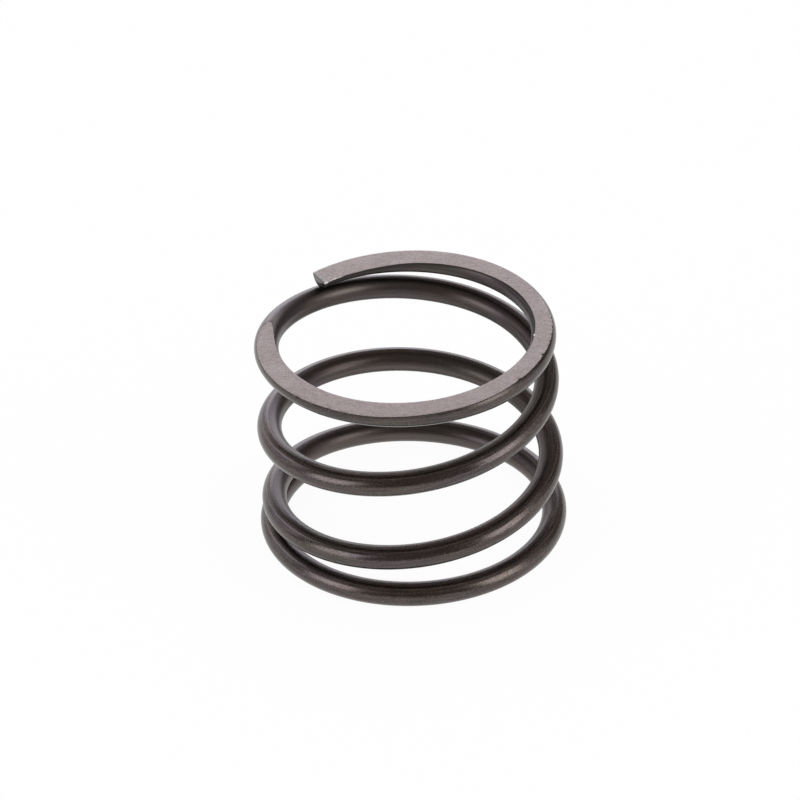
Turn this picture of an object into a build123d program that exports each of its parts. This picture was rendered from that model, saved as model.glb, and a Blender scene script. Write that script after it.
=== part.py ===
"""Trimmer head spring: a compression spring wound from one length of round steel wire.

Millimetres, +Z up. The origin is on the coil's axis, in the lower ground face, which is
the face that the spring stands on. The coil is right-hand wound, and turns are counted
down the wire from its upper tip.
"""
import os
from math import cos, radians, sin

from build123d import *

# The wire and the coil
WIRE_DIAMETER = 2.6
UPPER_MEAN_DIAMETER = 29.5
LOWER_MEAN_DIAMETER = 30.0
TOTAL_TURNS = 3.955
UPPER_TIP_DIRECTION = 127.0

# The closed end turns: how long each lies nearly level, the knee where it starts to climb,
# and the gap that is left where a tip meets the next turn
UPPER_LEVEL_TURNS = 0.72
UPPER_KNEE_TURNS = 0.18
LOWER_LEVEL_TURNS = 0.78
LOWER_KNEE_TURNS = 0.18
CLOSED_GAP = 0.07

# The ground ends: the length between them, and how far inside it the wire's centre lies
# at each tip
GROUND_LENGTH = 24.4
UPPER_TIP_DEPTH = 0.12
LOWER_TIP_DEPTH = 0.38

# How much less each working turn climbs than the turn above it
PITCH_EASE = 0.72

# The upper tip is tucked in and the lower tip springs out, over a short run of wire
UPPER_TIP_TUCK = 0.42
LOWER_TIP_SPREAD = 0.6
TIP_BEND_TURNS = 0.36

# The wire is also tucked in where it passes under its upper tip: how far, how many turns
# from the tip, and how many turns the tuck takes to come and go
CROSSING_TUCK = 0.4
CROSSING_TURNS = 0.95
CROSSING_REACH_TURNS = 0.3

# The turns lie a little out of square to the axis, raised on one side. The end turns have
# one incline, and the working turns between them another
END_INCLINE = 2.2
END_RAISED_DIRECTION = 191.0
WORKING_INCLINE = 1.2
WORKING_RAISED_DIRECTION = 119.0

# How far from its tip an end turn keeps its incline, and the run over which it gives way
END_INCLINE_TURNS = 0.79
INCLINE_BLEND_TURNS = 0.71

# The wire is sheared a little out of square at its upper tip
SHEAR_ANGLE = 10.0

# Points that the centre line passes through on each turn
POINTS_PER_TURN = 16

wire_radius = WIRE_DIAMETER / 2
closed_pitch = WIRE_DIAMETER + CLOSED_GAP
wound_height = GROUND_LENGTH - UPPER_TIP_DEPTH - LOWER_TIP_DEPTH
working_pitch = (wound_height - 2 * closed_pitch) / (TOTAL_TURNS - 2)


def smooth_step(share):
    """The share eased in and out, and held between 0 and 1."""
    held = min(max(share, 0), 1)
    return held**2 * (3 - 2 * held)


def climb_from_tip(turns, level_turns, knee_turns):
    """Height that the wire climbs over the given turns from a tip, at even working pitch.

    The level pitch is the one that makes the whole first turn climb by the closed pitch.
    """
    at_level = level_turns + knee_turns / 2
    level_pitch = (closed_pitch - working_pitch * (1 - at_level)) / at_level
    past_level = max(turns - level_turns, 0)
    in_knee = min(past_level, knee_turns)
    past_knee = past_level - in_knee
    steeper = working_pitch - level_pitch
    return level_pitch * turns + steeper * (in_knee**2 / knee_turns / 2 + past_knee)


def ease_drop(turns):
    """How far the easing pitch sets the working turns below even spacing."""
    from_upper_turn = turns - 1
    from_lower_turn = TOTAL_TURNS - 1 - turns
    if min(from_upper_turn, from_lower_turn) <= 0:
        return 0
    return PITCH_EASE / 2 * from_upper_turn * from_lower_turn


def centre_height(turns):
    """Height of the wire's centre, before the turns are inclined."""
    if turns < TOTAL_TURNS / 2:
        climb = climb_from_tip(turns, UPPER_LEVEL_TURNS, UPPER_KNEE_TURNS)
        height = GROUND_LENGTH - UPPER_TIP_DEPTH - climb
    else:
        climb = climb_from_tip(TOTAL_TURNS - turns, LOWER_LEVEL_TURNS, LOWER_KNEE_TURNS)
        height = LOWER_TIP_DEPTH + climb
    return height - ease_drop(turns)


def tip_bend(turns_from_tip):
    """Share of a tip's sideways bend that is left at the given turns from it."""
    return max(1 - turns_from_tip / TIP_BEND_TURNS, 0) ** 2


def crossing_tuck(turns):
    """How far the wire is tucked in where it passes under its upper tip."""
    off_crossing = abs(turns - CROSSING_TURNS)
    return CROSSING_TUCK * smooth_step(1 - off_crossing / CROSSING_REACH_TURNS)


def centre_radius(turns):
    """Distance of the wire's centre from the coil's axis."""
    share = turns / TOTAL_TURNS
    even = (UPPER_MEAN_DIAMETER * (1 - share) + LOWER_MEAN_DIAMETER * share) / 2
    tucked = UPPER_TIP_TUCK * tip_bend(turns) + crossing_tuck(turns)
    spread = LOWER_TIP_SPREAD * tip_bend(TOTAL_TURNS - turns)
    return even - tucked + spread


def rise_per_radius(direction, incline, raised_direction):
    """How far an incline raises the wire's centre, for each millimetre of its radius."""
    return cos(radians(direction - raised_direction)) * sin(radians(incline))


def raised_by_incline(turns, radius, direction):
    """How far the turns' incline raises the wire's centre."""
    from_tip = min(turns, TOTAL_TURNS - turns)
    working_share = smooth_step((from_tip - END_INCLINE_TURNS) / INCLINE_BLEND_TURNS)
    end_rise = rise_per_radius(direction, END_INCLINE, END_RAISED_DIRECTION)
    working_rise = rise_per_radius(direction, WORKING_INCLINE, WORKING_RAISED_DIRECTION)
    return radius * (end_rise * (1 - working_share) + working_rise * working_share)


def centre_point(turns):
    """Point on the wire's centre line."""
    radius = centre_radius(turns)
    direction = UPPER_TIP_DIRECTION - 360 * turns
    x = radius * cos(radians(direction))
    y = radius * sin(radians(direction))
    height = centre_height(turns) + raised_by_incline(turns, radius, direction)
    return Vector(x, y, height)


def centre_line():
    """The wire's centre line as one smooth curve."""
    spans = round(TOTAL_TURNS * POINTS_PER_TURN)
    return Spline(*[centre_point(TOTAL_TURNS * span / spans) for span in range(spans + 1)])


def sheared_section(path):
    """The wire's section at its upper tip, in the slanted plane that it is sheared on.

    The slant leaves the tip's inner corner further out than its outer corner. A slanted cut
    through round wire is an ellipse, longer along the slant.
    """
    outward = Vector(cos(radians(UPPER_TIP_DIRECTION)), sin(radians(UPPER_TIP_DIRECTION)), 0)
    square_cut = Plane(origin=path @ 0, x_dir=outward, z_dir=path % 0)
    slanted_cut = square_cut.rotated((0, 0, -SHEAR_ANGLE))
    return slanted_cut * Ellipse(wire_radius / cos(radians(SHEAR_ANGLE)), wire_radius)


def wound_wire():
    """The whole wire before its ends are ground.

    The sweep lets the slant of the upper tip fade on its way, so the lower tip is nearly square.
    """
    path = centre_line()
    return sweep(sheared_section(path), path=path)


def ground_ends(wire):
    """The wire with both ends ground flat, square to the axis."""
    reach = 2 * max(UPPER_MEAN_DIAMETER, LOWER_MEAN_DIAMETER)
    kept = Box(reach, reach, GROUND_LENGTH, align=(Align.CENTER, Align.CENTER, Align.MIN))
    return wire & kept


spring_wire = ground_ends(wound_wire())

os.makedirs("parts", exist_ok=True)
export_step(spring_wire, "parts/spring_wire.step")
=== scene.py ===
"""Dresses a trimmer head spring: its wound wire, its finishes, the floor, the light and the camera.

Lengths are in metres, angles in radians and +Z is up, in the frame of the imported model. Turns
are counted down the wire from its upper tip. The studio's and the camera's angles are in degrees.
"""
import logging
import math
from dataclasses import dataclass, fields
from enum import Enum
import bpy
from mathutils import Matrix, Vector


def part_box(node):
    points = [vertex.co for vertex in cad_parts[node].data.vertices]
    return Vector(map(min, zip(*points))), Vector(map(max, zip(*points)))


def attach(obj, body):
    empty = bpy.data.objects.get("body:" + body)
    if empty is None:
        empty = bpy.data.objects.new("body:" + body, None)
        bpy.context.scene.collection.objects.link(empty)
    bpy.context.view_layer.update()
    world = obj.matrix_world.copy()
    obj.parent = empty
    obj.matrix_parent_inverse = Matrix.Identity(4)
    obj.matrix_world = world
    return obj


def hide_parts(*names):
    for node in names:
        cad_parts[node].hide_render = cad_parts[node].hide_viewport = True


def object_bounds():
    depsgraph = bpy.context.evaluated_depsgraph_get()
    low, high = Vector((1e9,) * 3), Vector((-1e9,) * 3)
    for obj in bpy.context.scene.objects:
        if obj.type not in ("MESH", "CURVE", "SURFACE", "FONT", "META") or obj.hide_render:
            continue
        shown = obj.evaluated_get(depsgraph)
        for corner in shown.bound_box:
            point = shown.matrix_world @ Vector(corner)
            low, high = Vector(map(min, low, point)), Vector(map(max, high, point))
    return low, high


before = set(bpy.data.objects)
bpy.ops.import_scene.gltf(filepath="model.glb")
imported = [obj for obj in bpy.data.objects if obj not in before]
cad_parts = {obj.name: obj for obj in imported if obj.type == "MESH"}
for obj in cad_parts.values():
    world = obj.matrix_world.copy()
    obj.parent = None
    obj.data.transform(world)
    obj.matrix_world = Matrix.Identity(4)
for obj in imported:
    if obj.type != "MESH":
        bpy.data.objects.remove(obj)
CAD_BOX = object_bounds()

from types import SimpleNamespace

import bpy
from mathutils import Matrix, Vector

MM = 0.001
FULL_TURN = 2 * math.pi
NOISE_MIDDLE = 0.5
ROUGHNESS_LIMITS = (0.12, 0.9)
WIRE_NODE = "spring_wire"
STEEL_SLOT = "spring_steel"

Colour = tuple[float, float, float]

log = logging.getLogger("spring")


class Edge(Enum):
    """The two edges of a ground face, by the side of the wire that they run along."""

    INNER = -1
    OUTER = 1


class Number:
    """A number inside a node tree. Plain arithmetic on it adds Math nodes."""

    def __init__(self, tree: bpy.types.NodeTree, socket: bpy.types.NodeSocket) -> None:
        """Holds one output socket of the tree."""
        self.tree = tree
        self.socket = socket

    def math(self, operation: str, *others: "Number | float") -> "Number":
        """Adds a Math node.

        Args:
            operation: Blender's name of the operation.
            others: the numbers after this one.

        Returns:
            The node's result.
        """
        node = self.tree.nodes.new("ShaderNodeMath")
        node.operation = operation
        for place, value in enumerate((self, *others)):
            plug(value, node.inputs[place])
        return Number(self.tree, node.outputs[0])

    def __add__(self, other: "Number | float") -> "Number":
        """This number plus another."""
        return self.math("ADD", other)

    __radd__ = __add__

    def __sub__(self, other: "Number | float") -> "Number":
        """This number less another."""
        return self.math("SUBTRACT", other)

    def __rsub__(self, other: float) -> "Number":
        """A plain number less this one."""
        return -self + other

    def __mul__(self, other: "Number | float") -> "Number":
        """This number times another."""
        return self.math("MULTIPLY", other)

    def __truediv__(self, other: "Number | float") -> "Number":
        """This number over another."""
        return self.math("DIVIDE", other)

    def __pow__(self, other: float) -> "Number":
        """This number to a power."""
        return self.math("POWER", other)

    def __neg__(self) -> "Number":
        """This number with its sign turned."""
        return self * -1

    def over(self, limit: "Number | float") -> "Number":
        """1 where this number is above the limit, and 0 elsewhere."""
        return self.math("GREATER_THAN", limit)

    def at_least(self, limit: "Number | float") -> "Number":
        """This number, or the limit where that is more."""
        return self.math("MAXIMUM", limit)

    def at_most(self, limit: "Number | float") -> "Number":
        """This number, or the limit where that is less."""
        return self.math("MINIMUM", limit)

    def within(self, low: "Number | float", high: "Number | float") -> "Number":
        """This number held between two limits."""
        return self.at_least(low).at_most(high)

    def size(self) -> "Number":
        """This number without its sign."""
        return self.math("ABSOLUTE")

    def cos(self) -> "Number":
        """The cosine of this angle."""
        return self.math("COSINE")

    def sin(self) -> "Number":
        """The sine of this angle."""
        return self.math("SINE")

    def towards(self, other: "Number | float", share: "Number | float") -> "Number":
        """This number moved by a share of the way to another."""
        return self + (-self + other) * share

    def stepped(self, low: "Number | float", high: "Number | float") -> "Number":
        """Takes this number through a smooth step.

        Args:
            low: where the step starts. It may be the larger.
            high: where the step ends.

        Returns:
            0 before the step, 1 after it and an eased share on it.
        """
        node = self.tree.nodes.new("ShaderNodeMapRange")
        node.interpolation_type = "SMOOTHSTEP"
        plug(self, node.inputs["Value"])
        plug(low, node.inputs["From Min"])
        plug(high, node.inputs["From Max"])
        return Number(self.tree, node.outputs["Result"])


def plug(value: "Number | bpy.types.NodeSocket | float | tuple", socket: bpy.types.NodeSocket) -> None:
    """Links a number or a socket to a node's input, or sets the input to a constant.

    Args:
        value: the number, socket or constant.
        socket: the input.
    """
    if isinstance(value, Number):
        value = value.socket
    if isinstance(value, bpy.types.NodeSocket):
        socket.id_data.links.new(value, socket)
    else:
        socket.default_value = value


def add_node(tree: bpy.types.NodeTree, kind: str, inputs: dict, **settings: object) -> bpy.types.Node:
    """Adds a node to a tree.

    Args:
        tree: the tree.
        kind: Blender's name of the node's type.
        inputs: what goes into each input, by its name or number.
        settings: the node's own properties.

    Returns:
        The node.
    """
    node = tree.nodes.new(kind)
    for name, value in settings.items():
        setattr(node, name, value)
    for name, value in inputs.items():
        plug(value, node.inputs[name])
    return node


def title(name: str) -> str:
    """The label that a size has in a node tree."""
    return name.replace("_", " ").title()


def declare_inputs(tree: bpy.types.NodeTree, sizes: object) -> SimpleNamespace:
    """Gives a tree one named number input for each field of a dataclass.

    Args:
        tree: the geometry tree.
        sizes: the dataclass, whose values become the inputs' defaults.

    Returns:
        The inputs as numbers, by field name.
    """
    for size in fields(sizes):
        socket = tree.interface.new_socket(title(size.name), in_out="INPUT", socket_type="NodeSocketFloat")
        socket.default_value = getattr(sizes, size.name)
    entry = tree.nodes.new("NodeGroupInput")
    return SimpleNamespace(**{
        size.name: Number(tree, entry.outputs[title(size.name)]) for size in fields(sizes)
    })


@dataclass(frozen=True)
class CoilSizes:
    """The sizes that the wire is wound to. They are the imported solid's."""

    wire_diameter: float = 2.6 * MM
    upper_mean_diameter: float = 29.5 * MM
    lower_mean_diameter: float = 30.0 * MM
    total_turns: float = 3.955
    upper_tip_direction: float = math.radians(127)
    upper_level_turns: float = 0.72
    upper_knee_turns: float = 0.18
    lower_level_turns: float = 0.78
    lower_knee_turns: float = 0.18
    closed_gap: float = 0.07 * MM
    ground_length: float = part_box(WIRE_NODE)[1].z
    upper_tip_depth: float = 0.12 * MM
    lower_tip_depth: float = 0.38 * MM
    pitch_ease: float = 0.72 * MM
    upper_tip_tuck: float = 0.42 * MM
    lower_tip_spread: float = 0.6 * MM
    tip_bend_turns: float = 0.36
    crossing_tuck: float = 0.4 * MM
    crossing_turns: float = 0.95
    crossing_reach_turns: float = 0.3
    end_incline: float = math.radians(2.2)
    end_raised_direction: float = math.radians(191)
    working_incline: float = math.radians(1.2)
    working_raised_direction: float = math.radians(119)
    end_incline_turns: float = 0.79
    incline_blend_turns: float = 0.71

    def mean_turn(self) -> float:
        """The length of wire in an average turn."""
        return math.pi * (self.upper_mean_diameter + self.lower_mean_diameter) / 2


def coil_rule(turns: Number, sizes: SimpleNamespace) -> tuple[Number, Number, Number]:
    """The rule that the wire is wound by, in nodes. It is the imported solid's.

    Args:
        turns: how far down the wire, from the upper tip.
        sizes: the fields of CoilSizes, as numbers.

    Returns:
        The distance of the wire's centre from the axis, its direction and its height.
    """
    closed_pitch = sizes.wire_diameter + sizes.closed_gap
    wound_height = sizes.ground_length - sizes.upper_tip_depth - sizes.lower_tip_depth
    working_pitch = (wound_height - closed_pitch * 2) / (sizes.total_turns - 2)

    def climb_from_tip(from_tip: Number, level: Number, knee: Number) -> Number:
        """Height that the wire climbs from a tip. The first turn climbs by the closed pitch.

        Args:
            from_tip: how many turns from the tip.
            level: how many turns lie nearly level.
            knee: how many turns the knee takes.

        Returns:
            The height.
        """
        at_level = level + knee / 2
        level_pitch = (closed_pitch - working_pitch * (1 - at_level)) / at_level
        past_level = (from_tip - level).at_least(0)
        in_knee = past_level.at_most(knee)
        steeper = working_pitch - level_pitch
        return level_pitch * from_tip + steeper * (in_knee * in_knee / knee / 2 + past_level - in_knee)

    def tip_bend(from_tip: Number) -> Number:
        """Share of a tip's sideways bend that is left this far from it."""
        return (1 - from_tip / sizes.tip_bend_turns).at_least(0) ** 2

    to_lower_tip = sizes.total_turns - turns
    upper_climb = climb_from_tip(turns, sizes.upper_level_turns, sizes.upper_knee_turns)
    upper_height = sizes.ground_length - sizes.upper_tip_depth - upper_climb
    lower_climb = climb_from_tip(to_lower_tip, sizes.lower_level_turns, sizes.lower_knee_turns)
    lower_height = sizes.lower_tip_depth + lower_climb
    in_lower_half = turns.over(sizes.total_turns / 2)
    eased = (turns - 1).at_least(0) * (to_lower_tip - 1).at_least(0) * sizes.pitch_ease / 2
    height = upper_height.towards(lower_height, in_lower_half) - eased

    share = turns / sizes.total_turns
    even = sizes.upper_mean_diameter.towards(sizes.lower_mean_diameter, share) / 2
    off_crossing = (turns - sizes.crossing_turns).size() / sizes.crossing_reach_turns
    tucked = sizes.upper_tip_tuck * tip_bend(turns)
    tucked = tucked + sizes.crossing_tuck * (1 - off_crossing).stepped(0.0, 1.0)
    radius = even - tucked + sizes.lower_tip_spread * tip_bend(to_lower_tip)

    direction = sizes.upper_tip_direction - turns * FULL_TURN
    given_way = sizes.end_incline_turns + sizes.incline_blend_turns
    working_share = turns.at_most(to_lower_tip).stepped(sizes.end_incline_turns, given_way)
    end_rise = (direction - sizes.end_raised_direction).cos() * sizes.end_incline.sin()
    working_rise = (direction - sizes.working_raised_direction).cos() * sizes.working_incline.sin()
    return radius, direction, height + radius * end_rise.towards(working_rise, working_share)


@dataclass(frozen=True)
class Nick:
    """A small chip on an edge of the upper ground face."""

    turns: float
    length: float
    width: float
    depth: float
    edge: Edge = Edge.OUTER


@dataclass(frozen=True)
class Burr:
    """A stretch of bright burr that stands off an edge of the upper ground face."""

    first_turns: float
    last_turns: float
    width: float
    thickness: float
    edge: Edge = Edge.INNER
    bluntness: float = 4


@dataclass(frozen=True)
class Swell:
    """A stretch where grinding has pushed the steel out past an edge of the upper ground face."""

    first_turns: float
    last_turns: float
    width: float
    edge: Edge
    ease_turns: float = 0.08
    depth: float = 0.12 * MM


@dataclass(frozen=True)
class SkinSizes:
    """How the wire's ends and edges are finished, and how finely its skin is divided."""

    upper_shear_angle: float = math.radians(7.7)
    lower_shear_angle: float = math.radians(-2.0)
    shear_reach_turns: float = 0.08
    tip_rounding: float = 0.10 * MM
    edge_rounding: float = 0.02 * MM
    least_half_angle: float = math.radians(20)
    most_half_angle: float = math.radians(170)
    ragged_length: float = 0.42 * MM
    ragged_reach: float = 0.22 * MM
    ragged_depth: float = 0.06 * MM
    ragged_above: float = 0.48
    ragged_layers: float = 2.0
    most_worn_turns: float = 0.68
    full_wear_turns: float = 0.02
    worn_reach_turns: float = 0.14
    wear_there: float = 0.9
    wear_outside: float = 0.3
    wear_seed: float = 4.0
    end_face_spread: float = 0.90
    burr_from_spread: float = 0.7
    burr_full_spread: float = 0.9
    tip_rings: float = 8
    first_turn_rings: float = 900
    other_rings: float = 420
    flat_columns: float = 6
    side_columns: float = 20
    weld_distance: float = 0.001 * MM
    unrolled_strips: float = 7
    strip_margin: float = 0.02


@dataclass
class WoundWire:
    """The spring's one piece: the wound wire, ground flat at both ends and sheared at its tips."""

    coil: CoilSizes = CoilSizes()
    skin: SkinSizes = SkinSizes()
    nicks: tuple[Nick, ...] = (
        Nick(turns=0.7312, length=0.9 * MM, width=0.14 * MM, depth=0.05 * MM),
        Nick(turns=0.6887, length=0.4 * MM, width=0.20 * MM, depth=0.08 * MM),
        Nick(turns=0.6685, length=0.7 * MM, width=0.16 * MM, depth=0.06 * MM),
        Nick(turns=0.4706, length=0.8 * MM, width=0.14 * MM, depth=0.05 * MM),
        Nick(turns=0.4189, length=0.6 * MM, width=0.18 * MM, depth=0.05 * MM),
    )
    burrs: tuple[Burr, ...] = (
        Burr(first_turns=-0.006, last_turns=0.030, width=0.04 * MM, thickness=0.07 * MM),
        Burr(first_turns=-0.004, last_turns=0.005, width=0.06 * MM, thickness=0.20 * MM),
        Burr(first_turns=0.378, last_turns=0.384, width=0.03 * MM, thickness=0.09 * MM),
    )
    swells: tuple[Swell, ...] = (
        Swell(first_turns=0.29, last_turns=0.58, width=0.25 * MM, edge=Edge.OUTER),
        Swell(first_turns=0.48, last_turns=0.71, width=0.28 * MM, edge=Edge.OUTER, depth=0.20 * MM),
        Swell(first_turns=0.00, last_turns=0.12, width=0.20 * MM, edge=Edge.INNER, ease_turns=0.05),
        Swell(first_turns=0.02, last_turns=0.82, width=0.07 * MM, edge=Edge.INNER),
        Swell(first_turns=0.24, last_turns=0.58, width=0.07 * MM, edge=Edge.INNER),
    )

    def rule_group(self) -> bpy.types.NodeTree:
        """Makes the coil's rule a node group.

        Returns:
            The group, from turns and sizes to the place of the wire's centre.
        """
        tree = bpy.data.node_groups.new("Coil Rule", "GeometryNodeTree")
        sizes = declare_inputs(tree, self.coil)
        tree.interface.new_socket("Turns", in_out="INPUT", socket_type="NodeSocketFloat")
        entry = tree.nodes.new("NodeGroupInput")
        results = coil_rule(Number(tree, entry.outputs["Turns"]), sizes)
        leave = tree.nodes.new("NodeGroupOutput")
        for name, value in zip(("Radius", "Direction", "Height"), results):
            tree.interface.new_socket(name, in_out="OUTPUT", socket_type="NodeSocketFloat")
            plug(value, leave.inputs[name])
        return tree

    def make_tree(self, steel: bpy.types.Material) -> bpy.types.NodeTree:
        """Builds the geometry tree that makes the whole piece.

        Args:
            steel: the material that the tree sets.

        Returns:
            The tree, with a named input for each size.
        """
        tree = bpy.data.node_groups.new("Wound Wire", "GeometryNodeTree")
        tree.interface.new_socket("Geometry", in_out="OUTPUT", socket_type="NodeSocketGeometry")
        coil = declare_inputs(tree, self.coil)
        skin = declare_inputs(tree, self.skin)
        columns = (skin.flat_columns * 2 + skin.side_columns) * 2
        wire_rings = skin.first_turn_rings + skin.other_rings
        grid = add_node(tree, "GeometryNodeMeshGrid", {
            "Vertices X": wire_rings + skin.tip_rings * 2 + 1,
            "Vertices Y": columns + 1,
        })
        index = Number(tree, tree.nodes.new("GeometryNodeInputIndex").outputs[0])
        ring = ((index + 0.5) / (columns + 1)).math("FLOOR")
        column = index - ring * (columns + 1)

        along = self.place_along(ring, wire_rings, skin, coil.total_turns)
        rule = add_node(tree, "GeometryNodeGroup", {}, node_tree=self.rule_group())
        for name, value in vars(coil).items():
            plug(value, rule.inputs[title(name)])
        plug(along.turns, rule.inputs["Turns"])
        radius, turned, centre_height = (
            Number(tree, rule.outputs[name]) for name in ("Radius", "Direction", "Height")
        )
        section = self.section(column, columns, centre_height, coil, skin)
        worn = self.worn_edges(tree, along.turns, section, coil, skin)
        middle = (section.top + section.foot) / 2
        outwards = worn.outwards * along.spread
        height = middle.towards(worn.height, along.spread)
        direction = turned + (along.drawn_back - outwards * along.slant) / radius
        distance = radius + outwards
        place = add_node(tree, "ShaderNodeCombineXYZ", {
            "X": distance * direction.cos(), "Y": distance * direction.sin(), "Z": height,
        })
        placed = add_node(tree, "GeometryNodeSetPosition", {
            "Geometry": grid.outputs["Mesh"], "Position": place.outputs[0],
        })
        unwound = add_node(tree, "ShaderNodeCombineXYZ", {
            "X": along.length, "Y": section.outwards, "Z": section.upwards,
        })
        shape = placed.outputs["Geometry"]
        on_edge = along.spread.stepped(skin.burr_from_spread, skin.burr_full_spread)
        for name, kind, value in (
            ("unwound", "FLOAT_VECTOR", unwound.outputs[0]),
            ("ground_off", "FLOAT", section.ground_off - worn.chipped),
            ("sheared", "FLOAT", 1 - along.spread.stepped(skin.end_face_spread, 1.0)),
            ("burr", "FLOAT", worn.burr * on_edge),
        ):
            stored = add_node(tree, "GeometryNodeStoreNamedAttribute", {
                "Geometry": shape, "Name": name, "Value": value,
            }, data_type=kind)
            shape = stored.outputs["Geometry"]
        mapped = self.unroll(tree, shape, along, column / columns, coil, skin)
        welded = add_node(tree, "GeometryNodeMergeByDistance", {
            "Geometry": mapped, "Distance": skin.weld_distance,
        })
        smooth = add_node(tree, "GeometryNodeSetShadeSmooth", {"Geometry": welded.outputs[0]})
        whole = add_node(tree, "GeometryNodeRealizeInstances", {"Geometry": smooth.outputs[0]})
        dressed = add_node(tree, "GeometryNodeSetMaterial", {
            "Geometry": whole.outputs[0], "Material": steel,
        })
        leave = tree.nodes.new("NodeGroupOutput")
        plug(dressed.outputs[0], leave.inputs["Geometry"])
        return tree

    def place_along(
        self, ring: Number, wire_rings: Number, skin: SimpleNamespace, total_turns: Number
    ) -> SimpleNamespace:
        """Where each ring lies along the wire.

        Args:
            ring: the ring's number.
            wire_rings: how many steps there are from tip to tip.
            skin: the fields of SkinSizes.
            total_turns: the turns from tip to tip.

        Returns:
            turns, from the upper tip; length, along the unrolled skin; spread, how far the ring is
            spread from the middle of a tip's end face; drawn_back, how far a rounded tip draws
            the ring back, against the direction of the turns; slant, how far it is slanted.
        """
        step = ring - skin.tip_rings
        on_first = step.within(0, skin.first_turn_rings)
        on_others = (step - skin.first_turn_rings).within(0, skin.other_rings)
        turns = on_first / skin.first_turn_rings + on_others / skin.other_rings * (total_turns - 1)
        wire_radius = self.coil.wire_diameter / 2
        at_upper = (ring / skin.tip_rings).at_most(1)
        at_lower = ((wire_rings + skin.tip_rings * 2 - ring) / skin.tip_rings).at_most(1)
        at_tip = at_upper.at_most(at_lower)
        rounding = skin.tip_rounding / wire_radius
        on_face = (at_tip * 2).at_most(1)
        on_corner = (at_tip * 2 - 1).at_least(0) * (math.pi / 2)
        spread = on_face * (1 - rounding) + on_corner.sin() * rounding
        lower_half = turns.over(total_turns / 2)
        which_tip = 1 - lower_half * 2
        from_tip = turns.at_most(total_turns - turns)
        near_tip = from_tip.stepped(skin.shear_reach_turns, 0.0)
        shear = skin.upper_shear_angle.towards(skin.lower_shear_angle, lower_half)
        past_tip = (spread - 1) * wire_radius * which_tip
        return SimpleNamespace(
            turns=turns,
            length=turns * self.coil.mean_turn() + past_tip,
            spread=spread,
            drawn_back=(on_corner.cos() - 1) * skin.tip_rounding * which_tip * near_tip,
            slant=shear.math("TANGENT") * near_tip,
        )

    def section(
        self, column: Number, columns: Number, height: Number, coil: SimpleNamespace, skin: SimpleNamespace
    ) -> SimpleNamespace:
        """The wire's section where a ring cuts it: round, with its ground parts taken off.

        The columns run from the top over the outside to the foot and back up the inside. Some
        of them always follow the edges of the ground faces.

        Args:
            column: the column's number.
            columns: how many columns there are.
            height: the height of the wire's centre.
            coil: the fields of CoilSizes.
            skin: the fields of SkinSizes.

        Returns:
            outwards and upwards, the point on the round wire from its centre; height, of the
            ground point; side, 1 outside and -1 inside; edge, how far out the upper face's edges
            lie; ground_off, how much was ground off; top and foot, the section's highest and
            lowest point.
        """
        radius = coil.wire_diameter / 2
        length = coil.ground_length
        half = columns / 2
        from_top = half - (column - half).size()
        side = (half - column).math("SIGN")
        widest = skin.most_half_angle.cos()
        narrowest = skin.least_half_angle.cos()
        top_angle = ((length - height) / radius).within(widest, narrowest).math("ARCCOSINE")
        foot_angle = (height / radius).within(widest, narrowest).math("ARCCOSINE")
        edge = radius * top_angle.sin()
        foot_edge = radius * foot_angle.sin()
        on_top = (from_top / skin.flat_columns).at_most(1) * (math.pi / 2)
        on_side = ((from_top - skin.flat_columns) / skin.side_columns).within(0, 1)
        on_foot = ((half - from_top) / skin.flat_columns).at_most(1) * (math.pi / 2)
        eased = (1 - (on_side * math.pi).cos()) / 2
        angle = top_angle.towards(math.pi - foot_angle, eased)
        in_top = 1 - (from_top + 0.5).over(skin.flat_columns)
        in_foot = (from_top - 0.5).over(skin.flat_columns + skin.side_columns)
        in_side = 1 - in_top - in_foot
        flat_out = edge * on_top.sin() * in_top + foot_edge * on_foot.sin() * in_foot
        out = flat_out + radius * angle.sin() * in_side
        rise = (radius * radius - out * out).at_least(0).math("SQRT")
        up = rise * in_top - rise * in_foot + radius * angle.cos() * in_side
        before_grinding = height + up
        ground = before_grinding.math("SMOOTH_MIN", length, skin.edge_rounding)
        ground = ground.math("SMOOTH_MAX", 0.0, skin.edge_rounding)
        return SimpleNamespace(
            outwards=out * side,
            upwards=up,
            height=ground,
            side=side,
            edge=edge,
            ground_off=(before_grinding - length).at_least(-before_grinding),
            top=(height + radius).at_most(length),
            foot=(height - radius).at_least(0),
        )

    def worn_edges(
        self, tree: bpy.types.NodeTree, turns: Number, section: SimpleNamespace,
        coil: SimpleNamespace, skin: SimpleNamespace,
    ) -> SimpleNamespace:
        """Wears the upper face's edges: swells them, makes them ragged, and adds nicks and burrs.

        Args:
            tree: the geometry tree.
            turns: the ring's place along the wire.
            section: what section() returns.
            coil: the fields of CoilSizes.
            skin: the fields of SkinSizes.

        Returns:
            outwards, the point's distance from the wire's centre; height; chipped, how much is
            chipped off; burr, how much of a burr the point is.
        """
        arc = coil.upper_mean_diameter * math.pi
        drop = section.height - coil.ground_length

        def near_edge(edge: Number, reach: "Number | float") -> Number:
            """How near the point is to an edge of the face.

            Args:
                edge: how far out the edge lies.
                reach: how far from the edge nearness ends.

            Returns:
                1 on the edge, and 0 beyond the reach.
            """
            across = (section.outwards - edge) / reach
            down = drop / reach
            return (1 - across * across - down * down).at_least(0)

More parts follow.
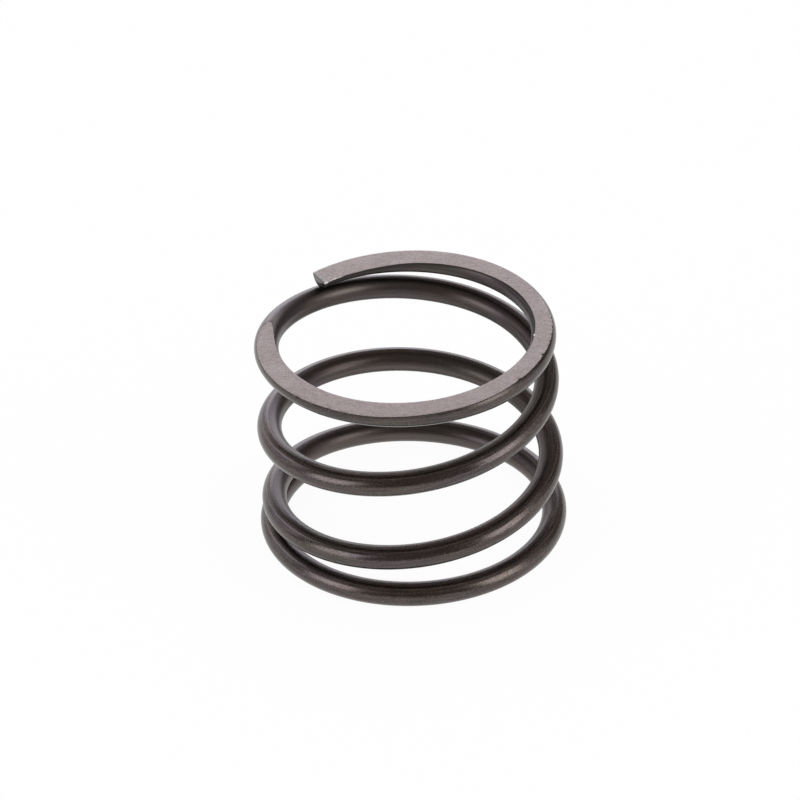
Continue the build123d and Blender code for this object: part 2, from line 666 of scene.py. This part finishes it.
        spot = add_node(tree, "ShaderNodeCombineXYZ", {
            "X": turns * arc / skin.ragged_length, "Y": section.side, "Z": skin.wear_seed,
        })
        uneven = Number(tree, add_node(tree, "ShaderNodeTexNoise", {
            "Vector": spot.outputs[0], "Scale": 1.0, "Detail": skin.ragged_layers,
        }).outputs[0])
        off_worn = (turns - skin.most_worn_turns).size()
        most_worn = off_worn.stepped(skin.worn_reach_turns, skin.full_wear_turns)
        wear = 1 + most_worn * skin.wear_there + section.side * skin.wear_outside
        on_edge = near_edge(section.edge * section.side, skin.ragged_reach)
        ragged = (uneven - skin.ragged_above).at_least(0) * on_edge
        chipped = ragged * wear * skin.ragged_depth
        for nick in self.nicks:
            on_nick = (turns - nick.turns) * arc / (nick.length / 2)
            left = near_edge(section.edge * nick.edge.value, nick.width) - on_nick * on_nick
            chipped = chipped + left.at_least(0) * nick.depth
        outwards = section.outwards - chipped * section.side
        for swell in self.swells:
            come = turns.stepped(swell.first_turns, swell.first_turns + swell.ease_turns)
            gone = turns.stepped(swell.last_turns, swell.last_turns - swell.ease_turns)
            pushed = near_edge(section.edge * swell.edge.value, swell.depth) * come * gone
            outwards = outwards + pushed * swell.width * swell.edge.value
        burr = turns * 0
        for stretch in self.burrs:
            middle = (stretch.first_turns + stretch.last_turns) / 2
            half = (stretch.last_turns - stretch.first_turns) / 2
            tapered = (1 - ((turns - middle) / half) ** stretch.bluntness).at_least(0)
            near = near_edge(section.edge * stretch.edge.value, stretch.thickness) * tapered
            near = near * (section.side * stretch.edge.value).at_least(0)
            outwards = outwards + near * stretch.width * stretch.edge.value
            burr = burr.at_least(near)
        height = section.height - chipped
        return SimpleNamespace(outwards=outwards, height=height, chipped=chipped, burr=burr)

    def unroll(
        self, tree: bpy.types.NodeTree, shape: bpy.types.NodeSocket, along: SimpleNamespace,
        around: Number, coil: SimpleNamespace, skin: SimpleNamespace,
    ) -> bpy.types.NodeSocket:
        """Lays the unrolled skin out as equal strips, one above the other, in the UV map.

        Args:
            tree: the geometry tree.
            shape: the skin.
            along: what place_along() returns.
            around: the share of the way round the wire.
            coil: the fields of CoilSizes.
            skin: the fields of SkinSizes.

        Returns:
            The skin with its UV map.
        """
        unrolled = coil.total_turns * self.coil.mean_turn() + coil.wire_diameter
        share = (along.length + coil.wire_diameter / 2) / unrolled
        on_face = add_node(tree, "GeometryNodeFieldOnDomain", {"Value": share}, domain="FACE")
        strip = (Number(tree, on_face.outputs["Value"]) * skin.unrolled_strips).math("FLOOR")
        margin = skin.strip_margin
        place = add_node(tree, "ShaderNodeCombineXYZ", {
            "X": (share * skin.unrolled_strips - strip) * (1 - margin * 2) + margin,
            "Y": (strip + around * (1 - margin * 4) + margin * 2) / skin.unrolled_strips,
        })
        stored = add_node(tree, "GeometryNodeStoreNamedAttribute", {
            "Geometry": shape, "Name": "OFBake", "Value": place.outputs[0],
        }, data_type="FLOAT2", domain="CORNER")
        return stored.outputs["Geometry"]

    def build(self, steel: bpy.types.Material) -> bpy.types.Object:
        """Makes the piece as a plain mesh.

        Args:
            steel: its material.

        Returns:
            The piece, riding on the part and standing for its packed wire.
        """
        host = bpy.data.objects.new("wire_rule", bpy.data.meshes.new("wire_rule"))
        bpy.context.scene.collection.objects.link(host)
        modifier = host.modifiers.new("Wound Wire", "NODES")
        modifier.node_group = self.make_tree(steel)
        values = {
            title(size.name): getattr(sizes, size.name)
            for sizes in (self.coil, self.skin) for size in fields(sizes)
        }
        for item in modifier.node_group.interface.items_tree:
            if item.item_type == "SOCKET" and item.in_out == "INPUT":
                modifier[item.identifier] = values[item.name]
        evaluated = host.evaluated_get(bpy.context.evaluated_depsgraph_get())
        mesh = bpy.data.meshes.new_from_object(evaluated)
        mesh.name = "wound_wire"
        host.modifiers.remove(modifier)
        bpy.data.objects.remove(host)
        piece = bpy.data.objects.new("wound_wire", mesh)
        bpy.context.scene.collection.objects.link(piece)
        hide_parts(WIRE_NODE)
        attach(piece, "root")
        return piece


@dataclass(frozen=True)
class Finish:
    """How one kind of steel surface looks: its main colour, those it drifts to, and its gloss."""

    colour: Colour
    drifts_to: tuple[Colour, ...]
    roughness: float
    metallic: float = 1.0

    def blend(self, tree: bpy.types.NodeTree, *shares: Number) -> bpy.types.NodeSocket:
        """The finish's colour.

        Args:
            tree: the material's tree.
            shares: how far it has drifted to each of its other colours, one after the other.

        Returns:
            The colour's socket.
        """
        mixed = (*self.colour, 1)
        for share, other in zip(shares, self.drifts_to):
            mixed = mix_colours(tree, share, mixed, (*other, 1))
        return mixed


TEMPERED = Finish(
    colour=(0.100, 0.083, 0.076),
    drifts_to=((0.096, 0.080, 0.082), (0.094, 0.084, 0.075)),
    roughness=0.26,
)
GROUND = Finish(
    colour=(0.485, 0.413, 0.405),
    drifts_to=((0.525, 0.462, 0.455), (0.44, 0.385, 0.372), (0.49, 0.47, 0.45)),
    roughness=0.5,
    metallic=0.75,
)
# The sheared face's second, much darker colour is painted shade, for its lower and inner part
SHEARED = Finish(colour=(0.22, 0.20, 0.195), drifts_to=((0.045, 0.038, 0.036),), roughness=0.5)
# Bare steel of the burrs; their near-white, mostly matte colour is partly a painted glint
BURR_AND_GLINT = Finish(colour=(0.74, 0.71, 0.69), drifts_to=((0.90, 0.88, 0.86),), roughness=0.4, metallic=0.3)


@dataclass(frozen=True)
class Grain:
    """Noise in the steel: how often it repeats in a metre, each way, and its finer layers."""

    repeats: tuple[float, float, float]
    layers: float = 2
    on_wire: bool = True


@dataclass(frozen=True)
class Ramp:
    """Where a mark starts to show and where it shows in full."""

    start: float
    full: float

    def along(self, value: Number) -> Number:
        """How far the mark has come up at this value, from 0 to 1."""
        return value.stepped(self.start, self.full)


@dataclass(frozen=True)
class WireMarks:
    """The marks of drawing and tempering, and the painted shade under the ground face's edge and inside
    the upper tip. Shades are shares of the wire's own colour.
    """

    streaks: Grain = Grain((450, 7500, 7500), layers=3)
    die_lines: Grain = Grain((14, 6500, 6500), layers=1)
    patches: Grain = Grain((130, 420, 420), layers=3)
    tints: Grain = Grain((90, 300, 300))
    fine: Grain = Grain((8500, 8500, 8500))
    patchy: Ramp = Ramp(0.40, 0.62)
    tinted: Ramp = Ramp(0.48, 0.66)
    bright_line: Ramp = Ramp(0.66, 0.74)
    speck: Ramp = Ramp(0.74, 0.82)
    speckled: Ramp = Ramp(0.4, 0.6)
    fine_shade: float = 2.2
    streak_shade: float = 1.2
    bright_line_shade: float = 0.5
    inside: Ramp = Ramp(0.1 * MM, -0.8 * MM)
    fading_inside: float = 0.6
    seam_angle: float = math.radians(54)
    seam_wander: float = 0.06 * MM
    seam_width: Ramp = Ramp(0.08 * MM, 0.02 * MM)
    seam_side: Ramp = Ramp(0.2 * MM, 0.5 * MM)
    seam_shade: float = 1.8
    # Painted shade under the ground face's edge and inside the upper tip
    shade_under_edge: Ramp = Ramp(-0.50 * MM, -0.05 * MM)
    shade_under_edge_length: Ramp = Ramp(76 * MM, 60 * MM)
    shade_inside_tip: Ramp = Ramp(-0.3 * MM, -0.9 * MM)
    shade_inside_tip_length: Ramp = Ramp(16 * MM, 5 * MM)
    painted_shade_strength: float = 0.5
    roughness_swing: float = 0.12
    roughness_inside: float = 0.10
    streak_relief: float = 0.003 * MM
    fine_relief: float = 0.002 * MM
    bright_line_relief: float = 0.003 * MM


@dataclass(frozen=True)
class EndMarks:
    """The marks of grinding and shearing on the wire's ends, the painted shade low on its sheared ends,
    and its burrs with their painted glint.
    """

    coarse: Grain = Grain((8500, 8500, 8500), on_wire=False)
    cloud: Grain = Grain((420, 420, 420), layers=3, on_wire=False)
    grinding: Grain = Grain((1500, 9000, 1500), on_wire=False)
    ground: Ramp = Ramp(0.012 * MM, 0.032 * MM)
    ground_unevenness: float = 0.03 * MM
    clouded: Ramp = Ramp(0.45, 0.70)
    grinding_mark: Ramp = Ramp(0.5, 0.72)
    worn_tip: Ramp = Ramp(0.6 * MM, 0.2 * MM)
    worn_tip_share: float = 0.7
    coarse_shade: float = 1.4
    grinding_shade: float = 0.9
    # Painted shade on the sheared end faces, lower down and further in
    torn: Ramp = Ramp(-0.40 * MM, -0.75 * MM)
    torn_lean: float = 0.35
    torn_unevenness: float = 0.8 * MM
    burr: Ramp = Ramp(0.65, 1.05)
    burr_strength: float = 1.6
    burr_unevenness: float = 2.2
    roughness_swing: float = 0.2
    relief: float = 0.010 * MM


def swing(noise: Number) -> Number:
    """How far noise lies to either side of its middle."""
    return noise - NOISE_MIDDLE


def mix_colours(
    tree: bpy.types.NodeTree, share: "Number | float", first: object, second: object
) -> bpy.types.NodeSocket:
    """Mixes two colours.

    Args:
        tree: the material's tree.
        share: how much of the second colour there is.
        first: the first colour, as a socket or four numbers.
        second: the second colour.

    Returns:
        The mixed colour's socket.
    """
    node = add_node(tree, "ShaderNodeMix", {0: share, 6: first, 7: second}, data_type="RGBA")
    return node.outputs[2]


class SpringSteel:
    """The wire's material: tempered wire, its ground faces, its sheared tips and burrs, with painted shade
    under the edge, inside the upper tip and low on the sheared ends, and a painted glint on the burrs.
    """

    def __init__(self, wire: WireMarks, ends: EndMarks) -> None:
        """Starts the material's node tree, with the noise and attributes that its parts share.

        Args:
            wire: the marks on the drawn wire.
            ends: the marks on its ends.
        """
        self.wire = wire
        self.ends = ends
        self.material = bpy.data.materials.new(STEEL_SLOT)
        self.material.use_nodes = True
        self.tree = self.material.node_tree
        self.unwound = self.attribute("unwound").outputs["Vector"]
        self.ground_off, self.on_shear, self.burr = (
            Number(self.tree, self.attribute(name).outputs["Fac"])
            for name in ("ground_off", "sheared", "burr")
        )
        in_section = add_node(self.tree, "ShaderNodeSeparateXYZ", {0: self.unwound})
        self.length, self.outwards, self.upwards = (
            Number(self.tree, in_section.outputs[name]) for name in ("X", "Y", "Z")
        )
        self.inside = wire.inside.along(self.outwards)
        self.streaks, self.patches, self.fine, self.coarse = (
            self.noise(grain) for grain in (wire.streaks, wire.patches, wire.fine, ends.coarse)
        )
        self.bright_lines = wire.bright_line.along(self.noise(wire.die_lines))

    def attribute(self, name: str) -> bpy.types.Node:
        """The node that reads one attribute of the wire's skin."""
        return add_node(self.tree, "ShaderNodeAttribute", {}, attribute_name=name)

    def noise(self, grain: Grain) -> Number:
        """Noise that is laid along the unwound wire, or through the object.

        Args:
            grain: how it repeats.

        Returns:
            The noise, about NOISE_MIDDLE in the middle.
        """
        source = self.unwound
        if not grain.on_wire:
            source = self.tree.nodes.new("ShaderNodeTexCoord").outputs["Object"]
        scaled = add_node(self.tree, "ShaderNodeVectorMath", {
            0: source, 1: grain.repeats,
        }, operation="MULTIPLY")
        node = add_node(self.tree, "ShaderNodeTexNoise", {
            "Vector": scaled.outputs[0], "Scale": 1.0, "Detail": grain.layers,
        })
        return Number(self.tree, node.outputs[0])

    def shade(self, colour: bpy.types.NodeSocket, factor: Number) -> bpy.types.NodeSocket:
        """A colour made lighter or darker by a factor."""
        inputs = {0: colour, "Scale": factor}
        return add_node(self.tree, "ShaderNodeVectorMath", inputs, operation="SCALE").outputs[0]

    def seam(self) -> Number:
        """The fine line that drawing has left along the outside of the wire.

        Returns:
            How much of the line a point is.
        """
        marks = self.wire
        past = self.upwards * math.cos(marks.seam_angle) - self.outwards * math.sin(marks.seam_angle)
        off_line = (past + swing(self.patches) * marks.seam_wander).size()
        return marks.seam_width.along(off_line) * marks.seam_side.along(self.outwards) * self.streaks

    def scorched(self) -> Number:
        """Painted shade: darker steel in the shadowed recess just under the ground face's edge, and on the
        inside of the upper tip, where it lies close over the next turn.

        Returns:
            How much darker a point is.
        """
        marks = self.wire
        under_edge = marks.shade_under_edge.along(self.ground_off)
        under_edge = under_edge * marks.shade_under_edge_length.along(self.length)
        inside_tip = marks.shade_inside_tip.along(self.outwards)
        inside_tip = inside_tip * marks.shade_inside_tip_length.along(self.length)
        return under_edge.at_least(inside_tip) * marks.painted_shade_strength

    def wire_colour(self) -> bpy.types.NodeSocket:
        """The tempered wire, with its streaks, lines and specks, and its painted shade.

        Returns:
            The colour's socket.
        """
        marks = self.wire
        tinted = marks.tinted.along(self.noise(marks.tints))
        colour = TEMPERED.blend(self.tree, marks.patchy.along(self.patches), tinted)
        specks = marks.speck.along(self.fine) * marks.speckled.along(self.patches)
        drawn = swing(self.fine) * marks.fine_shade + swing(self.streaks) * marks.streak_shade
        drawn = drawn + self.bright_lines * marks.bright_line_shade + specks
        drawn = drawn + self.seam() * marks.seam_shade
        factor = drawn * (1 - self.inside * marks.fading_inside) + 1
        # The colour is darkened by the painted shade under the edge and inside the upper tip
        return self.shade(colour, factor * (1 - self.scorched()))

    def ground_colour(self) -> bpy.types.NodeSocket:
        """The ground faces, with their grinding marks and the strip along the upper tip.

        Returns:
            The colour's socket.
        """
        marks = self.ends
        grinding = self.noise(marks.grinding)
        clouded = marks.clouded.along(self.noise(marks.cloud))
        worn_tip = marks.worn_tip.along(self.length) * marks.worn_tip_share
        colour = GROUND.blend(self.tree, clouded, marks.grinding_mark.along(grinding), worn_tip)
        factor = swing(self.coarse) * marks.coarse_shade + swing(grinding) * marks.grinding_shade + 1
        return self.shade(colour, factor)

    def sheared_colour(self) -> bpy.types.NodeSocket:
        """The sheared end faces: lighter above, with painted shade towards the bottom and the inner side,
        and darker along the rim.

        Returns:
            The colour's socket.
        """
        marks = self.ends
        uneven = swing(self.coarse) * marks.torn_unevenness
        # Painted shade: darker towards the bottom and the inner side of the end face
        torn = marks.torn.along(self.upwards + self.outwards * marks.torn_lean + uneven)
        # The rim is 1 halfway from the skin to the end face, and 0 on both of them
        rim = self.on_shear * (1 - self.on_shear) * 4
        return SHEARED.blend(self.tree, torn.at_least(rim))

    def build(self) -> bpy.types.Material:
        """Makes the material.

        Returns:
            The material, ready for the geometry tree.
        """
        tree, wire, ends = self.tree, self.wire, self.ends
        surface = tree.nodes["Principled BSDF"]
        uneven = swing(self.coarse)
        on_ground = ends.ground.along(self.ground_off + uneven * ends.ground_unevenness)
        on_burr = ends.burr.along(self.burr * ends.burr_strength + uneven * ends.burr_unevenness)

        colour = mix_colours(tree, on_ground, self.wire_colour(), self.ground_colour())
        colour = mix_colours(tree, (self.on_shear * 2).at_most(1), colour, self.sheared_colour())
        # The burrs: bare steel, with a painted glint
        colour = mix_colours(tree, on_burr, colour, BURR_AND_GLINT.blend(tree, self.fine))
        plug(colour, surface.inputs["Base Color"])

        roughness = (swing(self.streaks) + swing(self.fine)) * wire.roughness_swing
        roughness = roughness + self.inside * wire.roughness_inside + TEMPERED.roughness
        roughness = roughness.towards(uneven * ends.roughness_swing + GROUND.roughness, on_ground)
        roughness = roughness.towards(SHEARED.roughness, self.on_shear)
        roughness = roughness.towards(BURR_AND_GLINT.roughness, on_burr)
        plug(roughness.within(*ROUGHNESS_LIMITS), surface.inputs["Roughness"])
        metallic = on_ground * (GROUND.metallic - TEMPERED.metallic) + TEMPERED.metallic
        plug(metallic.towards(BURR_AND_GLINT.metallic, on_burr), surface.inputs["Metallic"])

        relief = self.streaks * wire.streak_relief + self.fine * wire.fine_relief
        relief = relief + self.bright_lines * wire.bright_line_relief
        relief = relief.towards(self.coarse * ends.relief, on_ground.at_least(self.on_shear))
        bump = add_node(tree, "ShaderNodeBump", {"Height": relief, "Strength": 1.0, "Distance": 1.0})
        plug(bump.outputs[0], surface.inputs["Normal"])
        return self.material


def face(
    thing: bpy.types.Object, centre: Vector, azimuth: float, elevation: float, distance: float
) -> None:
    """Puts a lamp at a distance from a point, and turns it to the point.

    Args:
        thing: the lamp.
        centre: the point.
        azimuth: its direction in degrees, from the camera's side towards the right.
        elevation: its height above the horizon in degrees.
        distance: how far it is from the point.
    """
    outwards = towards(azimuth, elevation)
    thing.location = centre + outwards * distance
    thing.rotation_euler = outwards.to_track_quat("Z", "Y").to_euler()


def towards(azimuth: float, elevation: float) -> Vector:
    """The direction at an azimuth, from the camera's side towards the right, and an elevation."""
    turn, rise = math.radians(azimuth), math.radians(elevation)
    return Vector((math.sin(turn) * math.cos(rise), -math.cos(turn) * math.cos(rise), math.sin(rise)))


@dataclass(frozen=True)
class Softbox:
    """A flat lamp that faces the spring. Azimuth 0 is the camera's side, and 90 is the right."""

    name: str
    azimuth: float
    elevation: float
    width: float
    height: float
    radiance: float
    colour: Colour = (1.0, 1.0, 1.0)
    distance: float = 0.42

    def build(self, centre: Vector) -> None:
        """Makes the lamp.

        Args:
            centre: the point that it faces.
        """
        light = bpy.data.lights.new(self.name, "AREA")
        light.color = self.colour
        light.shape = "RECTANGLE"
        light.size = self.width
        light.size_y = self.height
        light.energy = self.radiance * math.pi * self.width * self.height
        lamp = bpy.data.objects.new(self.name, light)
        bpy.context.scene.collection.objects.link(lamp)
        face(lamp, centre, self.azimuth, self.elevation, self.distance)
        lamp.visible_camera = False


@dataclass(frozen=True)
class Tent:
    """A grey tent over the table, open towards the bright backdrop. Only the steel reflects it."""

    name: str = "grey_tent"
    radius: float = 0.47
    grey: Colour = (0.26, 0.235, 0.222)
    opening: tuple[int, int] = (153, 225)
    opening_top: int = 27
    step: int = 3

    def build(self, centre: Vector) -> None:
        """Makes the tent.

        Args:
            centre: the middle of the spring.
        """
        ground = Vector((centre.x, centre.y, 0))
        azimuths = range(0, 360, self.step)
        elevations = range(0, 90, self.step)
        points = [
            ground + towards(azimuth, rise) * self.radius for rise in elevations for azimuth in azimuths
        ]
        around = len(azimuths)
        panels = []
        for row, rise in enumerate(elevations[:-1]):
            for place, azimuth in enumerate(azimuths):
                if rise < self.opening_top and self.opening[0] <= azimuth < self.opening[1]:
                    continue
                beside = (place + 1) % around
                below = row * around
                above = below + around
                panels.append((below + place, below + beside, above + beside, above + place))
        panels.append(tuple(range(len(points) - around, len(points))))
        mesh = bpy.data.meshes.new(self.name)
        mesh.from_pydata(points, [], panels)
        material = bpy.data.materials.new(self.name)
        material.use_nodes = True
        tree = material.node_tree
        cloth = add_node(tree, "ShaderNodeEmission", {"Color": (*self.grey, 1), "Strength": 1.0})
        plug(cloth.outputs[0], tree.nodes["Material Output"].inputs["Surface"])
        mesh.materials.append(material)
        tent = bpy.data.objects.new(self.name, mesh)
        bpy.context.scene.collection.objects.link(tent)
        tent.visible_camera = False
        tent.visible_diffuse = False
        tent.visible_transmission = False
        tent.visible_shadow = False


@dataclass
class Studio:
    """The pale floor, the lamps and the tent."""

    floor_side: float = 6.0
    floor_grey: float = 0.85
    floor_roughness: float = 0.9
    floor_shade: float = 0.05
    sky_light: float = 0.8
    lamps: tuple[Softbox, ...] = (
        Softbox("left_softbox", -64, 18, width=0.26, height=0.26, radiance=2.6, colour=(0.93, 0.93, 1.0)),
        Softbox("left_fill", -116, 20, width=0.26, height=0.28, radiance=0.9, colour=(0.84, 0.84, 1.0)),
        Softbox("right_softbox", 62, 18, width=0.22, height=0.30, radiance=3.0, colour=(1.0, 0.99, 0.98)),
        Softbox("right_fill", 92, 16, width=0.20, height=0.30, radiance=0.40, colour=(0.94, 0.90, 1.0)),
        Softbox("back_softbox", 175, 14, width=0.34, height=0.17, radiance=1.45, colour=(0.82, 0.84, 1.0)),
        Softbox("hair_softbox", 192, 45, width=0.10, height=0.07, radiance=0.7),
    )
    tent: Tent = Tent()

    def add_floor(self) -> None:
        """Makes the pale floor, which keeps a soft share of the spring's shadow."""
        half = self.floor_side / 2
        corners = [(-half, -half, 0), (half, -half, 0), (half, half, 0), (-half, half, 0)]
        mesh = bpy.data.meshes.new("floor")
        mesh.from_pydata(corners, [], [(0, 1, 2, 3)])
        material = bpy.data.materials.new("pale_floor")
        material.use_nodes = True
        tree = material.node_tree
        matte = tree.nodes["Principled BSDF"]
        matte.inputs["Base Color"].default_value = (*[self.floor_grey] * 3, 1)
        matte.inputs["Roughness"].default_value = self.floor_roughness
        matte.inputs["Specular IOR Level"].default_value = 0.0
        white = add_node(tree, "ShaderNodeEmission", {"Color": (1, 1, 1, 1), "Strength": 1.0})
        seen = self.seen_directly(tree) * (1 - self.floor_shade)
        mixed = add_node(tree, "ShaderNodeMixShader", {
            0: seen, 1: matte.outputs[0], 2: white.outputs[0],
        })
        plug(mixed.outputs[0], tree.nodes["Material Output"].inputs["Surface"])
        mesh.materials.append(material)
        floor = bpy.data.objects.new("floor", mesh)
        bpy.context.scene.collection.objects.link(floor)

    def seen_directly(self, tree: bpy.types.NodeTree) -> Number:
        """Picks out the rays that show the background, in the picture, in metal or through glass.

        Args:
            tree: the tree of a material or of the surroundings.

        Returns:
            1 for such rays and 0 for the others.
        """
        path = tree.nodes.new("ShaderNodeLightPath")
        names = ("Is Camera Ray", "Is Glossy Ray", "Is Transmission Ray")
        camera, glossy, transmission = (Number(tree, path.outputs[name]) for name in names)
        return camera.at_least(glossy).at_least(transmission)

    def add_sky(self) -> None:
        """Makes the surroundings white where they are seen, and a plain soft light elsewhere."""
        world = bpy.data.worlds.new("surroundings")
        world.use_nodes = True
        tree = world.node_tree
        background = tree.nodes["Background"]
        background.inputs["Color"].default_value = (1, 1, 1, 1)
        strength = self.seen_directly(tree) * (1 - self.sky_light) + self.sky_light
        plug(strength, background.inputs["Strength"])
        bpy.context.scene.world = world

    def build(self, centre: Vector) -> None:
        """Sets up the studio around the spring.

        Args:
            centre: the middle of the spring.
        """
        self.add_floor()
        self.add_sky()
        for thing in (*self.lamps, self.tent):
            thing.build(centre)
            log.info("studio: %s", thing.name)
        bpy.context.scene.view_settings.view_transform = "Standard"


@dataclass
class Viewpoint:
    """The camera, where the photograph was taken from."""

    elevation: float = 33.702
    roll: float = -3.795
    distance: float = 0.608509
    target: tuple[float, float, float] = (-0.000820, 0.0, 0.015703)
    focal_pixels: float = 5737.0
    image_side: int = 800
    sensor_width: float = 36.0
    nearest_seen: float = 0.01

    def build(self) -> None:
        """Makes the camera and gives it to the scene."""
        rise, roll = math.radians(self.elevation), math.radians(self.roll)
        back = Vector((0, -math.cos(rise), math.sin(rise)))
        level = Vector((1, 0, 0))
        upright = Vector((0, math.sin(rise), math.cos(rise)))
        right = level * math.cos(roll) + upright * math.sin(roll)
        up = upright * math.cos(roll) - level * math.sin(roll)
        data = bpy.data.cameras.new("camera")
        data.sensor_fit = "HORIZONTAL"
        data.sensor_width = self.sensor_width
        data.lens = self.focal_pixels / self.image_side * self.sensor_width
        data.clip_start = self.nearest_seen
        data.dof.use_dof = False
        camera = bpy.data.objects.new("camera", data)
        bpy.context.scene.collection.objects.link(camera)
        turned = Matrix((right, up, back)).transposed().to_4x4()
        camera.matrix_world = Matrix.Translation(Vector(self.target) + back * self.distance) @ turned
        bpy.context.scene.camera = camera


def main() -> None:
    """Builds the spring, its studio and the camera."""
    logging.basicConfig(level=logging.INFO, format="%(name)s: %(message)s")
    steel = SpringSteel(WireMarks(), EndMarks()).build()
    wire = WoundWire().build(steel)
    log.info("%s: %d faces, %d points", wire.name, len(wire.data.polygons), len(wire.data.vertices))
    low, high = CAD_BOX
    Studio().build((low + high) / 2)
    Viewpoint().build()


if __name__ == "__main__":
    main()
